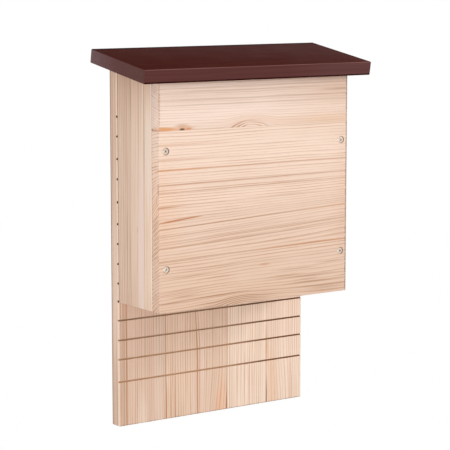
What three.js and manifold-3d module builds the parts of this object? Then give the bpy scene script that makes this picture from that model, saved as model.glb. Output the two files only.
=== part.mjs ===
// A wooden bat box that hangs on a wall. A kerfed back board runs down below the box as a landing
// board. Two side boards, a screwed-on front board and a sloping painted roof board make a shallow
// box that is open underneath, and a kerfed baffle parts it into two roosting chambers.
// Millimetres. X runs to the right as seen from the front, Y from the front to the wall, Z up.
// The origin is on the wall face, midway between the two keyholes that the box hangs by.
import * as THREE from "three";
import { mergeVertices } from "three/addons/utils/BufferGeometryUtils.js";
import Module from "manifold-3d";

const wasm = await Module();
wasm.setup();

// Boards
const boxWidth = 250; // across the back board and the front board
const backHeight = 399; // back board, at its wall face
const backThickness = 15;
const tailLength = 139; // landing board left bare below the box
const sideThickness = 15;
const sideDepth = 67.5; // from the back board to the front board
const frontThickness = 15;
const roofThickness = 15;
const roofLength = 108.5; // along the slope
const roofSideOverhang = 24;
const roofSlopeDegrees = 9.5;
const roofSeatGap = 0.3; // between the roof and the tops of the other boards
const edgeEase = 0.6; // the narrow chamfer along every outer edge

// Baffle, which drops into a stopped dado in each side board
const baffleThickness = 15;
const baffleLift = 25; // its lower edge above the open bottom of the box
const baffleHeadroom = 25; // from its upper edge to the roof, where bats cross over
const dadoDepth = 4;
const dadoClearance = 0.3;

// Saw kerfs that give bats a grip
const kerfWidth = 1.8;
const kerfDepth = 2;
const lowestKerfHeight = 50; // above the lower end of the back board
const kerfPitch = 22.4; // mean distance between kerfs
// The kerfs are sawn by eye: each gap on the back board, from the bottom up, as a share of the pitch
const kerfGapShares = [1.12, 0.96, 0.98, 0.95, 0.88, 0.96, 0.98, 0.97, 1.07, 1.12, 0.97, 1.09, 0.96];
const baffleKerfMargin = 14; // the least distance from a baffle kerf to the baffle's ends

// Wood screws that hold the boards together
const screwLength = 35;
const screwShankRadius = 1.75;
const screwHeadRadius = 3.3;
const screwHeadSink = 0.5; // depth of a head below the board's face
const screwPointLength = 5;
const frontScrewInset = 8.5; // from the front board's ends
const lowerFrontScrewHeight = 46; // above the open bottom of the box
const frontScrewSpacing = 125;
const lowerBackScrewHeight = 30; // above the open bottom of the box
const upperBackScrewDrop = 48; // below the top of the back board

// Brads that hold the roof board, driven square to it and filled over
const bradLength = 38;
const bradRadius = 0.8;
const bradHeadRadius = 1.3;
const bradHeadHeight = 0.8;
const bradSink = 1.8; // depth of a head below the roof's upper face
const bradPointLength = 3;
const bradInset = 17; // from a side board's ends to its brads
const backBradSetback = 10; // from the roof's back edge to the brads in the back board
const backBradSpacing = 120;

// Keyhole hanger plates, let into the wall face
const hangDrop = 64; // from the back board's top down to the keyhole seats
const hangerSpacing = 160;
const plateLength = 46;
const plateWidth = 16;
const plateThickness = 1.5;
const plateSink = 0.3; // depth of a plate below the wall face
const keyholeEntryRadius = 4.5;
const keyholeSlotRadius = 2.2;
const keyholeTravel = 10; // from the entry's centre up to the seat's centre
const plateScrewInset = 5.5; // from a plate's end to its screw
const pocketClearance = 0.6; // round the keyhole, for the wall screw's head
const pocketDepth = 6; // behind a plate
const plateScrewLength = 10;
const plateScrewShankRadius = 1.5;
const plateScrewHeadRadius = 2.8;
const plateScrewPointLength = 3;

// Fits and fineness
const fixingClearance = 0.3; // between a fixing or plate and the wood or steel round it
const recessWidth = 0.8; // arms of the cross recess in a screw's head
const recessDepth = 1.2;
const recessReachShare = 0.6; // of the head's radius
const cutOverrun = 1; // how far a cutter runs past a face
const roundSegments = 20;

// Places worked out from the boards
const slope = THREE.MathUtils.degToRad(roofSlopeDegrees);
const halfWidth = boxWidth / 2;
const hangHeight = backHeight - hangDrop;
const sideCentreX = halfWidth - sideThickness / 2;
const backFrontY = -backThickness;
const sideFrontY = backFrontY - sideDepth;
const boxFrontY = sideFrontY - frontThickness;
const baffleCentreY = backFrontY - sideDepth / 2;
const topAt = (y) => backHeight + y * Math.tan(slope); // height of the sloping tops at depth y
const roofMatrix = new THREE.Matrix4().makeRotationX(slope);
roofMatrix.setPosition(0, 0, backHeight + roofSeatGap / Math.cos(slope));

const pine = new THREE.MeshStandardMaterial({ color: 0xe9c8ae, roughness: 0.7, metalness: 0 });
const paint = new THREE.MeshStandardMaterial({ color: 0x4b2621, roughness: 0.35, metalness: 0 });
const zinc = new THREE.MeshStandardMaterial({ color: 0xc4c3bf, roughness: 0.35, metalness: 0.9 });

const batBox = new THREE.Group();
batBox.position.z = -hangHeight;
const roof = new THREE.Group();
roof.applyMatrix4(roofMatrix);
batBox.add(roof);

// Adds a named mesh to a group.
function place(name, geometry, material, parent = batBox) {
  const mesh = new THREE.Mesh(geometry, material);
  mesh.name = name;
  parent.add(mesh);
  return mesh;
}

// A closed three.js geometry as a solid that can be cut.
function solidOf(geometry) {
  geometry.deleteAttribute("normal");
  geometry.deleteAttribute("uv");
  const merged = mergeVertices(geometry);
  return new wasm.Manifold(
    new wasm.Mesh({
      numProp: 3,
      vertProperties: merged.attributes.position.array,
      triVerts: new Uint32Array(merged.index.array),
    }),
  );
}

// A solid back as a three.js geometry, with flat normals.
function geometryOf(solid) {
  const mesh = solid.getMesh();
  const geometry = new THREE.BufferGeometry();
  geometry.setAttribute("position", new THREE.BufferAttribute(new Float32Array(mesh.vertProperties), 3));
  geometry.setIndex(new THREE.BufferAttribute(mesh.triVerts, 1));
  const flat = geometry.toNonIndexed();
  flat.computeVertexNormals();
  return flat;
}

// A solid with every cutter taken out of it.
function cut(solid, cutters) {
  return cutters.reduce((left, cutter) => left.subtract(cutter), solid);
}

// An outline with each of its corners cut back by the same ease.
function easedOutline(corners, ease) {
  const points = corners.map(([u, v]) => new THREE.Vector2(u, v));
  const shape = [];
  points.forEach((corner, i) => {
    const before = points[(i + points.length - 1) % points.length];
    const after = points[(i + 1) % points.length];
    for (const end of [before, after]) {
      shape.push(corner.clone().add(end.clone().sub(corner).setLength(ease)));
    }
  });
  return new THREE.Shape(shape);
}

// A board with its profile in the YZ plane, given anticlockwise as [y, z] corners, that runs
// along X from x to x + width. Every outer edge is eased.
function board(corners, x, width) {
  const geometry = new THREE.ExtrudeGeometry(easedOutline(corners, edgeEase), {
    depth: width - 2 * edgeEase,
    bevelEnabled: true,
    bevelThickness: edgeEase,
    bevelSize: edgeEase,
    bevelOffset: -edgeEase,
    bevelSegments: 1,
  });
  geometry.translate(0, 0, edgeEase);
  const toBoard = new THREE.Matrix4().makeBasis(
    new THREE.Vector3(0, 1, 0),
    new THREE.Vector3(0, 0, 1),
    new THREE.Vector3(1, 0, 0),
  );
  geometry.applyMatrix4(toBoard.setPosition(x, 0, 0));
  return solidOf(geometry);
}

// A plain block between two corners.
function block(low, high) {
  const geometry = new THREE.BoxGeometry(...high.map((value, i) => value - low[i]));
  geometry.translate(...high.map((value, i) => (value + low[i]) / 2));
  return solidOf(geometry);
}

// A turned piece on the Y axis, from [radius, y] points that start and end on the axis.
function turned(profile) {
  return new THREE.LatheGeometry(
    profile.map(([radius, y]) => new THREE.Vector2(radius, y)),
    roundSegments,
  );
}

// A saw kerf right across a board's face at height z. outward is -1 on a face that looks to the
// front and 1 on one that looks to the wall.
function kerf(faceY, outward, z) {
  const bottomY = faceY - outward * kerfDepth;
  const pastY = faceY + outward * cutOverrun;
  const reach = halfWidth + cutOverrun;
  return block(
    [-reach, Math.min(bottomY, pastY), z - kerfWidth / 2],
    [reach, Math.max(bottomY, pastY), z + kerfWidth / 2],
  );
}

// A countersunk wood screw: its head's face at y 0, its point at y length.
function woodScrew({ length, shankRadius, headRadius, pointLength }) {
  const headHeight = headRadius - shankRadius;
  const screw = solidOf(
    turned([
      [0, 0],
      [headRadius, 0],
      [shankRadius, headHeight],
      [shankRadius, length - pointLength],
      [0, length],
    ]),
  );
  const reach = headRadius * recessReachShare;
  const arm = recessWidth / 2;
  return cut(screw, [
    block([-reach, -cutOverrun, -arm], [reach, recessDepth, arm]),
    block([-arm, -cutOverrun, -reach], [arm, recessDepth, reach]),
  ]);
}

// The hole for such a screw, whose head's face is sink below the wood's face.
function screwHole({ length, shankRadius, headRadius }, sink) {
  const headHeight = headRadius - shankRadius;
  const mouthRise = sink + cutOverrun;
  const hole = shankRadius + fixingClearance;
  const seat = headRadius + fixingClearance;
  return solidOf(
    turned([
      [0, -mouthRise],
      [seat + mouthRise, -mouthRise],
      [seat, 0],
      [hole, headHeight],
      [hole, length + fixingClearance],
      [0, length + fixingClearance],
    ]),
  );
}

const boardScrew = {
  length: screwLength,
  shankRadius: screwShankRadius,
  headRadius: screwHeadRadius,
  pointLength: screwPointLength,
};
const plateScrew = {
  length: plateScrewLength,
  shankRadius: plateScrewShankRadius,
  headRadius: plateScrewHeadRadius,
  pointLength: plateScrewPointLength,
};

// Where the screws go: the place of each head's face. A screw with no turn points to the wall.
const sides = [
  { side: "left", sign: -1 },
  { side: "right", sign: 1 },
];
const upperBackScrewHeight = backHeight - upperBackScrewDrop;
const firstBackScrewHeight = tailLength + lowerBackScrewHeight;
const frontScrews = sides.flatMap(({ side, sign }) =>
  ["lower", "upper"].map((level, i) => ({
    name: `front_screw_${side}_${level}`,
    x: sign * (halfWidth - frontScrewInset),
    y: boxFrontY + screwHeadSink,
    z: tailLength + lowerFrontScrewHeight + i * frontScrewSpacing,
    turn: 0,
  })),
);
const backScrews = sides.flatMap(({ side, sign }) =>
  ["lower", "middle", "upper"].map((level, i) => ({
    name: `back_screw_${side}_${level}`,
    x: sign * sideCentreX,
    y: -screwHeadSink,
    z: firstBackScrewHeight + (i * (upperBackScrewHeight - firstBackScrewHeight)) / 2,
    turn: Math.PI,
  })),
);
const plateCentreZ = hangHeight - keyholeTravel / 2;
const plates = sides.map(({ side, sign }) => ({
  name: `hanger_plate_${side}`,
  side,
  x: (sign * hangerSpacing) / 2,
  z: plateCentreZ,
}));
const plateScrewReach = plateLength / 2 - plateScrewInset;
const plateScrews = plates.flatMap(({ side, x, z }) =>
  [
    { level: "lower", sign: -1 },
    { level: "upper", sign: 1 },
  ].map(({ level, sign }) => ({
    name: `hanger_screw_${side}_${level}`,
    x,
    y: -plateSink,
    z: z + sign * plateScrewReach,
    turn: Math.PI,
  })),
);

// A cutter turned about Z and moved to a screw's place.
function placed(cutter, { x, y, z, turn }) {
  return cutter.rotate([0, 0, THREE.MathUtils.radToDeg(turn)]).translate([x, y, z]);
}

// Brads, in the roof's own frame: x, and y along the slope from its back edge.
const sideBradYs = [backFrontY - bradInset, sideFrontY + bradInset];
const brads = [
  ...sides.flatMap(({ side, sign }) =>
    ["rear", "front"].map((end, i) => ({
      name: `roof_brad_${side}_${end}`,
      x: sign * sideCentreX,
      y: sideBradYs[i] / Math.cos(slope),
    })),
  ),
  ...sides.map(({ side, sign }) => ({
    name: `roof_brad_back_${side}`,
    x: (sign * backBradSpacing) / 2,
    y: -backBradSetback,
  })),
];
const bradTopZ = roofThickness - bradSink;

// A brad or, with clearance, the hole for one, with its point downwards and its top at z 0.
function brad(clearance) {
  const shank = bradRadius + clearance;
  const head = bradHeadRadius + clearance;
  const geometry = turned([
    [0, -clearance],
    [head, -clearance],
    [head, bradHeadHeight + clearance],
    [shank, bradHeadHeight + clearance],
    [shank, bradLength - bradPointLength],
    [0, bradLength + clearance],
  ]);
  return solidOf(geometry.rotateX(-Math.PI / 2));
}
const bradHoles = brads.map(({ x, y }) => brad(fixingClearance).translate([x, y, bradTopZ]));
const bradHolesInBoards = bradHoles.map((hole) => hole.transform(roofMatrix.elements));

// Heights of the kerfs on the back board, from the bottom up.
const kerfHeights = kerfGapShares.reduce(
  (heights, share) => [...heights, heights.at(-1) + share * kerfPitch],
  [lowestKerfHeight],
);

// The outline of a slot with round ends between two heights, in the XZ plane.
function stadium(radius, lowZ, highZ) {
  const outline = new THREE.Shape();
  outline.absarc(0, highZ, radius, 0, Math.PI, false);
  outline.absarc(0, lowZ, radius, Math.PI, 2 * Math.PI, false);
  return outline;
}

// An outline in the XZ plane as a plate from y nearY back to y farY, which is more negative.
function plateOf(outline, nearY, farY) {
  const geometry = new THREE.ExtrudeGeometry(outline, {
    depth: nearY - farY,
    bevelEnabled: false,
    curveSegments: roundSegments / 2,
  });
  return solidOf(geometry.rotateX(Math.PI / 2).translate(0, nearY, 0));
}

// A keyhole hanger plate, centred on its own length, with its outer face at y 0.
function hangerPlate() {
  const radius = plateWidth / 2;
  const straight = plateLength / 2 - radius;
  const entryZ = -keyholeTravel / 2;
  const seatZ = keyholeTravel / 2;
  const past = cutOverrun;
  const blank = plateOf(stadium(radius, -straight, straight), 0, -plateThickness);
  const entry = plateOf(stadium(keyholeEntryRadius, entryZ, entryZ), past, -plateThickness - past);
  const slot = plateOf(stadium(keyholeSlotRadius, entryZ, seatZ), past, -plateThickness - past);
  const screwHoles = [-plateScrewReach, plateScrewReach].map((z) =>
    placed(screwHole(plateScrew, 0), { x: 0, y: 0, z, turn: Math.PI }),
  );
  return cut(blank, [entry, slot, ...screwHoles]);
}

// What the back board loses to one hanger plate: the plate's own recess and a deeper pocket.
function hangerRecess() {
  const radius = plateWidth / 2 + fixingClearance;
  const straight = (plateLength - plateWidth) / 2;
  const plateBackY = -plateSink - plateThickness;
  const recess = plateOf(stadium(radius, -straight, straight), cutOverrun, plateBackY - fixingClearance);
  const pocketRadius = keyholeEntryRadius + pocketClearance;
  const pocket = plateOf(
    stadium(pocketRadius, -keyholeTravel / 2, keyholeTravel / 2),
    cutOverrun,
    plateBackY - pocketDepth,
  );
  return recess.add(pocket);
}

function backBoard() {
  const profile = [
    [0, 0],
    [0, backHeight],
    [backFrontY, topAt(backFrontY)],
    [backFrontY, 0],
  ];
  return cut(board(profile, -halfWidth, boxWidth), [
    ...kerfHeights.map((z) => kerf(backFrontY, -1, z)),
    ...plates.map(({ x, z }) => hangerRecess().translate([x, 0, z])),
    ...plateScrews.map((fixing) => placed(screwHole(plateScrew, 0), fixing)),
    ...backScrews.map((fixing) => placed(screwHole(boardScrew, screwHeadSink), fixing)),
    ...bradHolesInBoards,
  ]);
}

function sideBoard(sign) {
  const profile = [
    [backFrontY, tailLength],
    [backFrontY, topAt(backFrontY)],
    [sideFrontY, topAt(sideFrontY)],
    [sideFrontY, tailLength],
  ];
  const innerX = sign * (halfWidth - sideThickness);
  const dadoX = innerX + sign * dadoDepth;
  const pastX = innerX - sign * cutOverrun;
  const dadoHalfWidth = baffleThickness / 2 + dadoClearance;
  const dado = block(
    [Math.min(dadoX, pastX), baffleCentreY - dadoHalfWidth, tailLength + baffleLift],
    [Math.max(dadoX, pastX), baffleCentreY + dadoHalfWidth, backHeight + cutOverrun],
  );
  const outerX = sign * halfWidth;
  return cut(board(profile, Math.min(innerX, outerX), sideThickness), [
    dado,
    ...frontScrews.map((fixing) => placed(screwHole(boardScrew, screwHeadSink), fixing)),
    ...backScrews.map((fixing) => placed(screwHole(boardScrew, screwHeadSink), fixing)),
    ...bradHolesInBoards,
  ]);
}

function frontBoard() {
  const profile = [
    [sideFrontY, tailLength],
    [sideFrontY, topAt(sideFrontY)],
    [boxFrontY, topAt(boxFrontY)],
    [boxFrontY, tailLength],
  ];
  return cut(
    board(profile, -halfWidth, boxWidth),
    frontScrews.map((fixing) => placed(screwHole(boardScrew, screwHeadSink), fixing)),
  );
}

function roofBoard() {
  const profile = [
    [0, 0],
    [0, roofThickness],
    [-roofLength, roofThickness],
    [-roofLength, 0],
  ];
  const reach = halfWidth + roofSideOverhang;
  return cut(board(profile, -reach, 2 * reach), bradHoles);
}

function baffleBoard() {
  const backY = baffleCentreY + baffleThickness / 2;
  const frontY = baffleCentreY - baffleThickness / 2;
  const lowZ = tailLength + baffleLift;
  const highZ = topAt(frontY) - baffleHeadroom;
  const reach = halfWidth - sideThickness + dadoDepth - dadoClearance;
  const profile = [
    [backY, lowZ],
    [backY, highZ],
    [frontY, highZ],
    [frontY, lowZ],
  ];
  const kerfs = kerfHeights.filter((z) => z > lowZ + baffleKerfMargin && z < highZ - baffleKerfMargin);
  return cut(
    board(profile, -reach, 2 * reach),
    kerfs.flatMap((z) => [kerf(frontY, -1, z), kerf(backY, 1, z)]),
  );
}

place("back_board", geometryOf(backBoard()), pine);
for (const { side, sign } of sides) {
  place(`side_board_${side}`, geometryOf(sideBoard(sign)), pine);
}
place("front_board", geometryOf(frontBoard()), pine);
place("baffle_board", geometryOf(baffleBoard()), pine);
place("roof_board", geometryOf(roofBoard()), paint, roof);

const boardScrewGeometry = geometryOf(woodScrew(boardScrew));
const plateScrewGeometry = geometryOf(woodScrew(plateScrew));
const fixings = [
  ...[...frontScrews, ...backScrews].map((fixing) => ({ ...fixing, geometry: boardScrewGeometry })),
  ...plateScrews.map((fixing) => ({ ...fixing, geometry: plateScrewGeometry })),
];
for (const { name, x, y, z, turn, geometry } of fixings) {
  const screw = place(name, geometry, zinc);
  screw.position.set(x, y, z);
  screw.rotation.z = turn;
}

const plateGeometry = geometryOf(hangerPlate());
for (const { name, x, z } of plates) {
  place(name, plateGeometry, zinc).position.set(x, -plateSink, z);
}

const bradGeometry = geometryOf(brad(0));
for (const { name, x, y } of brads) {
  place(name, bradGeometry, zinc, roof).position.set(x, y, bradTopZ);
}

export default batBox;
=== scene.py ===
# A wooden bat box on a plain white studio set: bare edge-glued fir, a matt stained roof board
# and bright zinc fixings. Metres, in the part's own frame. Sizes in the wood's tables are millimetres.
import math
from collections import namedtuple

import bmesh
import bpy
from mathutils import Matrix, Vector


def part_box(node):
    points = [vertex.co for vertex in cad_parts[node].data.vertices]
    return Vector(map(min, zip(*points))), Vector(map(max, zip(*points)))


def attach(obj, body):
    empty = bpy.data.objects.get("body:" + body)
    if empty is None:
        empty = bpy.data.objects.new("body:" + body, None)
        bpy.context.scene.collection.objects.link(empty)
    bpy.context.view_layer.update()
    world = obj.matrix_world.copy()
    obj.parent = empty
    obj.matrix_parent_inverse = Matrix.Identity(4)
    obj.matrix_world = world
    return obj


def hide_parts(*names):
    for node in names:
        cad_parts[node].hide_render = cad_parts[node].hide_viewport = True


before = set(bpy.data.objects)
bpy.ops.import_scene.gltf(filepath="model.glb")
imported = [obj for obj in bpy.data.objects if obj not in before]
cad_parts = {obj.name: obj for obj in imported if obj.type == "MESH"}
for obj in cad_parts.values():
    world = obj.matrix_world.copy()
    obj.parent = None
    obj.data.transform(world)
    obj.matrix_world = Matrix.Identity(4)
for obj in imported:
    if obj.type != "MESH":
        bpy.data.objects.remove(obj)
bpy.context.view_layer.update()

MM = 0.001
X, Y, Z = 0, 1, 2

# The camera, as the photograph was taken
VIEW_AZIMUTH = -35.01
VIEW_ELEVATION = 7.99
VIEW_DISTANCE = 2.0158
VIEW_TARGET = Vector((-0.0081, -0.0500, -0.1164))
LENS = 146.18
SENSOR = 36

# The studio
FLOOR_HEIGHT = -2.0
FLOOR_REACH = 12
FLOOR_COLOUR = "#F4F4F2"
FLOOR_GLOW = 0.85  # what a camera ray gets from the floor besides its lit share
FLOOR_LIT_SHARE = 0.3
AMBIENT = 0.52
# Each lamp: its azimuth, elevation, distance, width and power in watts
LAMPS = {
    "right": (62, 22, 1.6, 0.4, 8.3),
    "front_left": (-40, 0, 1.6, 0.9, 8),
    "low_left": (-59, -17, 1.7, 0.9, 5),
    "above": (0, 83, 2.0, 0.9, 1.2),
    "behind": (165, -15, 2.0, 2.0, 16),
}
LAMP_TARGET = Vector((0, -0.05, -0.2))

# Making the pieces
MERGE_DISTANCE = 1e-6
FLAT_DEGREES = 1
SHARP_DEGREES = 20
SQUARE_ON = 0.9  # a face whose normal has this much of an axis looks along that axis
WOOD_EASE = 0.18 * MM
STEEL_EASE = 0.12 * MM
EASE_SEGMENTS = 2
ROUND_STEPS = 40

# Screws
# Each kind's radius of the shank and length of the point
SHANK_AND_POINT = {"board": (1.75 * MM, 5 * MM), "hanger": (1.5 * MM, 3 * MM)}
DRIVER_TURN = 1.9  # radians from one screw's cross to the next one's
SCREW_ROOT_SHARE = 0.68  # root of the thread, of the shank's radius
THREAD_PITCH_SHARE = 1.1  # of the shank's radius
THREAD_START_SHARE = 0.35  # plain shank under the head, of the length
THREAD_FOOT_SHARE = 0.22  # half the foot of the ridge, of the pitch
THREAD_SUNK_SHARE = 0.9  # radius of the ridge's foot, which lies inside the screw, of the root
THREAD_STEPS = 16
RIM_HEIGHT = 0.18 * MM
RECESS_WIDTH = 1.15 * MM
RECESS_DEPTH = 1.8 * MM
RECESS_REACH_SHARE = 0.62
RECESS_TAPER = 0.45  # its floor's width, of its mouth's

# Inputs of a Map Range node by number: it takes 1 to 2, and gives 3 to 4
NOISE_SPAN = {1: 0.3, 2: 0.7}  # nearly all of a noise lies between these
FACING_SPAN = {1: 0.6, 2: 0.9}  # from an eased edge to the flat face beside it
NOISE_STOPS = tuple(NOISE_SPAN.values())  # the same span, as places on a Color Ramp


def linear(code):
    """An sRGB hex colour as linear red, green, blue and alpha."""
    parts = [int(code[i : i + 2], 16) / 255 for i in (1, 3, 5)]
    return tuple(c / 12.92 if c <= 0.04045 else ((c + 0.055) / 1.055) ** 2.4 for c in parts) + (1,)


def add(tree, kind, inputs=None, stops=(), **settings):
    """A new node's outputs. Each input, by name or number, is linked if it is a socket.

    The stops of a Color Ramp are places with their grey values or hex colours.
    """
    node = tree.nodes.new(kind)
    for name, value in settings.items():
        setattr(node, name, value)
    for key, value in (inputs or {}).items():
        if isinstance(value, bpy.types.NodeSocket):
            tree.links.new(value, node.inputs[key])
        else:
            node.inputs[key].default_value = value
    if stops:
        elements = node.color_ramp.elements
        while len(elements) < len(stops):
            elements.new(1)
        for element, (place, value) in zip(elements, stops):
            element.position = place
            element.color = linear(value) if isinstance(value, str) else (value, value, value, 1)
    return node.outputs


def maths(tree, operation, *values, **settings):
    """The result of a Math node."""
    return add(tree, "ShaderNodeMath", dict(enumerate(values)), operation=operation, **settings)[0]


def vector_maths(tree, operation, *values, **named):
    """The vector that a Vector Math node gives, or its number where the operation gives one."""
    inputs = {**dict(enumerate(values)), **named}
    vector, number = add(tree, "ShaderNodeVectorMath", inputs, operation=operation)
    return number if operation in ("DISTANCE", "DOT_PRODUCT") else vector


def remap(tree, value, *spans, **settings):
    """The result of a Map Range node, with the spans that it takes and gives."""
    inputs = {0: value}
    for span in spans:
        inputs.update(span)
    return add(tree, "ShaderNodeMapRange", inputs, **settings)[0]


def noise(tree, place, scale, detail):
    """The outputs of a noise in three dimensions."""
    return add(tree, "ShaderNodeTexNoise", {"Vector": place, "Scale": scale, "Detail": detail})


def graded(tree, share, stops):
    """The colour of a Color Ramp at a share of its length."""
    return add(tree, "ShaderNodeValToRGB", {0: share}, stops)[0]


def mix(tree, amount, first, second, **settings):
    """A mix of two colours."""
    return add(tree, "ShaderNodeMix", {0: amount, 6: first, 7: second}, data_type="RGBA", **settings)[2]


def new_material(name):
    """A material with its node tree and its shader."""
    material = bpy.data.materials.new(name)
    material.use_nodes = True
    tree = material.node_tree
    return material, tree, tree.nodes["Principled BSDF"]


def dress(tree, shader, colour, rough=None, bump=None):
    """Links a finish's colour, roughness and bump to its shader."""
    for name, value in (("Base Color", colour), ("Roughness", rough), ("Normal", bump)):
        if value:
            tree.links.new(value, shader.inputs[name])


def spot(tree, point, centre, reach, strength=1, core=0, rise=0):
    """A soft ellipsoid: its full strength as far as its core, and nothing past its reach.

    Its third axis rises towards the first by the given share of its length.
    """
    if rise:
        point = add(
            tree,
            "ShaderNodeVectorRotate",
            {"Vector": point, "Center": centre, "Angle": -math.atan(rise)},
            rotation_type="Y_AXIS",
        )[0]
    scaled = vector_maths(tree, "DIVIDE", point, reach)
    middle = [at / size for at, size in zip(centre, reach)]
    away = vector_maths(tree, "DISTANCE", scaled, middle)
    return remap(tree, away, {1: core, 2: 1, 3: strength, 4: 0}, interpolation_type="SMOOTHSTEP")


# Softwood rings. A ring runs from pale earlywood into a thin dark latewood line.
RING_PROFILE = [(0, 0.35), (0.1, 0.04), (0.5, 0.02), (0.76, 0.22), (0.9, 1), (1, 0.85)]
RING_SPREAD = 1.05  # years by which a ring's place strays from an even spacing
RING_SPREAD_SCALE = 0.37  # per year
RING_STRENGTH = {3: 0.45, 4: 1.05}  # of one year's latewood line, against another's
RING_FADE = {1: 0.32, 2: 0.64, 3: 0.35, 4: 1}  # how much of its strength a line keeps on its way
STAVE_SPACING = 371  # mm in the tree from one stave to the next, so that no two are alike
WANDER_REACH = 5  # mm that the grain strays from straight
CANAL_EDGE = {1: 0.71, 2: 0.77}  # a resin canal is where its noise is above this
# Spacings of the wood's patterns in mm, each as length / count: across, through and along the grain
WANDER_SPACING = (1000 / 16, 1000 / 16, 1000 / 6)
FADE_SPACING = (100 / 12, 100 / 12, 1000 / 14)
FIBRE_SPACING = (10 / 13, 10 / 13, 100 / 3)
BAND_SPACING = (100 / 7, 100 / 7, 1000 / 3)
CANAL_SPACING = (10 / 16, 10 / 16, 100 / 16)


def growth_rings():
    """A node group that turns a place in a board into its latewood, fibre, band and canal values.

    Place and Pith are across, through and along the grain, in mm; Ring is width, contrast, seed.
    """
    tree = bpy.data.node_groups.new("growth_rings", "ShaderNodeTree")
    for name in ("Place", "Pith", "Ring"):
        tree.interface.new_socket(name, in_out="INPUT", socket_type="NodeSocketVector")
    for name in ("Latewood", "Fibre", "Band", "Canal"):
        tree.interface.new_socket(name, in_out="OUTPUT", socket_type="NodeSocketFloat")
    given = add(tree, "NodeGroupInput")
    width, contrast, seed = add(tree, "ShaderNodeSeparateXYZ", {0: given["Ring"]})
    apart = maths(tree, "MULTIPLY", seed, STAVE_SPACING)
    shift = add(tree, "ShaderNodeCombineXYZ", {0: apart, 1: apart, 2: apart})[0]
    place = vector_maths(tree, "ADD", given["Place"], shift)

    def noise_at(spacing, detail):
        stretched = vector_maths(tree, "DIVIDE", place, spacing)
        return noise(tree, stretched, 1, detail)

    centred = vector_maths(tree, "SUBTRACT", noise_at(WANDER_SPACING, 2)["Color"], (0.5, 0.5, 0.5))
    strayed = vector_maths(tree, "MULTIPLY_ADD", centred, (WANDER_REACH,) * 3, given["Place"])
    level = vector_maths(tree, "MULTIPLY", strayed, (1, 1, 0))
    from_pith = vector_maths(tree, "DISTANCE", level, given["Pith"])
    years = maths(tree, "DIVIDE", from_pith, width)
    seeded = maths(tree, "ADD", years, apart)
    uneven = add(
        tree,
        "ShaderNodeTexNoise",
        {"W": seeded, "Scale": RING_SPREAD_SCALE, "Detail": 1},
        noise_dimensions="1D",
    )[0]
    phase = maths(tree, "MULTIPLY_ADD", uneven, RING_SPREAD, seeded)
    year = maths(tree, "FLOOR", phase)
    season = maths(tree, "FRACT", phase)
    latewood = graded(tree, season, RING_PROFILE)
    harvest = add(tree, "ShaderNodeTexWhiteNoise", {"W": year}, noise_dimensions="1D")["Value"]
    strength = remap(tree, harvest, RING_STRENGTH)
    fade = remap(tree, noise_at(FADE_SPACING, 2)["Fac"], RING_FADE)
    for factor in (strength, fade, contrast):
        latewood = maths(tree, "MULTIPLY", latewood, factor)
    canal = remap(tree, noise_at(CANAL_SPACING, 0)["Fac"], CANAL_EDGE)
    add(
        tree,
        "NodeGroupOutput",
        {
            "Latewood": latewood,
            "Fibre": noise_at(FIBRE_SPACING, 4)["Fac"],
            "Band": noise_at(BAND_SPACING, 2)["Fac"],
            "Canal": canal,
        },
    )
    return tree


RINGS = growth_rings()
LEAN_RANGE = 0.2  # the grain's lean runs from minus to plus half of this
ALL_THROUGH = 1000  # mm: a mark this long runs from end to end
SKIN = 5  # mm: how deep a mark on a face goes
END_GRAIN = {3: 1, 4: 1.3}  # how much stronger the rings are on the ends than on the faces
FRAY = (1.2, 0, 4)  # mm across, through and along that the fibres shift the edge of a mark
# A knot's rings: share of its radius, core, and the colour of its bark halo, rim, wood and heart
KNOT_RINGS = [(1.7, 0, "#D3A078"), (1.08, 0.75, "#7C4A2C"), (0.9, 0.7, "#B27A4E"), (0.35, 0, "#85502F")]
KNOT_STRENGTH = 0.85
KNOT_LENGTH_SHARE = 1.2  # along the grain, of its width
KNOT_GRAIN_REACH_SHARES = (3.2, 7)  # of its radius, across and along: how far the grain bends round it
KNOT_GRAIN_SPREAD = 0.8
KNOT_WARP = 3  # mm: the range of a knot's unevenness
KNOT_WARP_SPACING = 100 / 22  # mm
GLUE_HALF_WIDTH = 0.5  # mm
GLUE_STRENGTH, GLUE_CORE = 0.4, 0.2
GLUE_COLOUR = "#C49C7C"
CANAL_STRENGTH = 0.12
CANAL_COLOUR = "#C08E68"
# Fibres and slow bands lighten and darken the wood by a few parts in a hundred. Darker is yellower.
FIBRE_SHADE = {3: 0.955, 4: 1.045}
BAND_SHADE = {3: 0.96, 4: 1.04}
SHADE_TINT = (0.8, 1, 1.18)  # how much they change red, green and blue
FIR_RELIEF = {"Strength": 0.35, "Distance": 0.12 * MM}
LATEWOOD_LIFT = 0.5  # how far hard latewood stands up, of the fibres' relief
FIR_ROUGHNESS = {3: 0.6, 4: 0.72}

# A streak, knot or line in the wood, which follows the grain. Its centre and its reach are in mm,
# across and along. Between these they hold a depth where it isn't on the face or SKIN deep.
# It is full inside its core, a share of its reach, and cut off where the place across isn't above.
# Its rise is how much steeper than the grain it runs.
Mark = namedtuple("Mark", "centre reach core colour strength above rise", defaults=(0, 0))


def right_through(centre, reach):
    """A centre and a reach on a board's face, made to go through the whole board."""
    return (centre[0], 0, centre[1]), (reach[0], ALL_THROUGH, reach[1])


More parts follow.
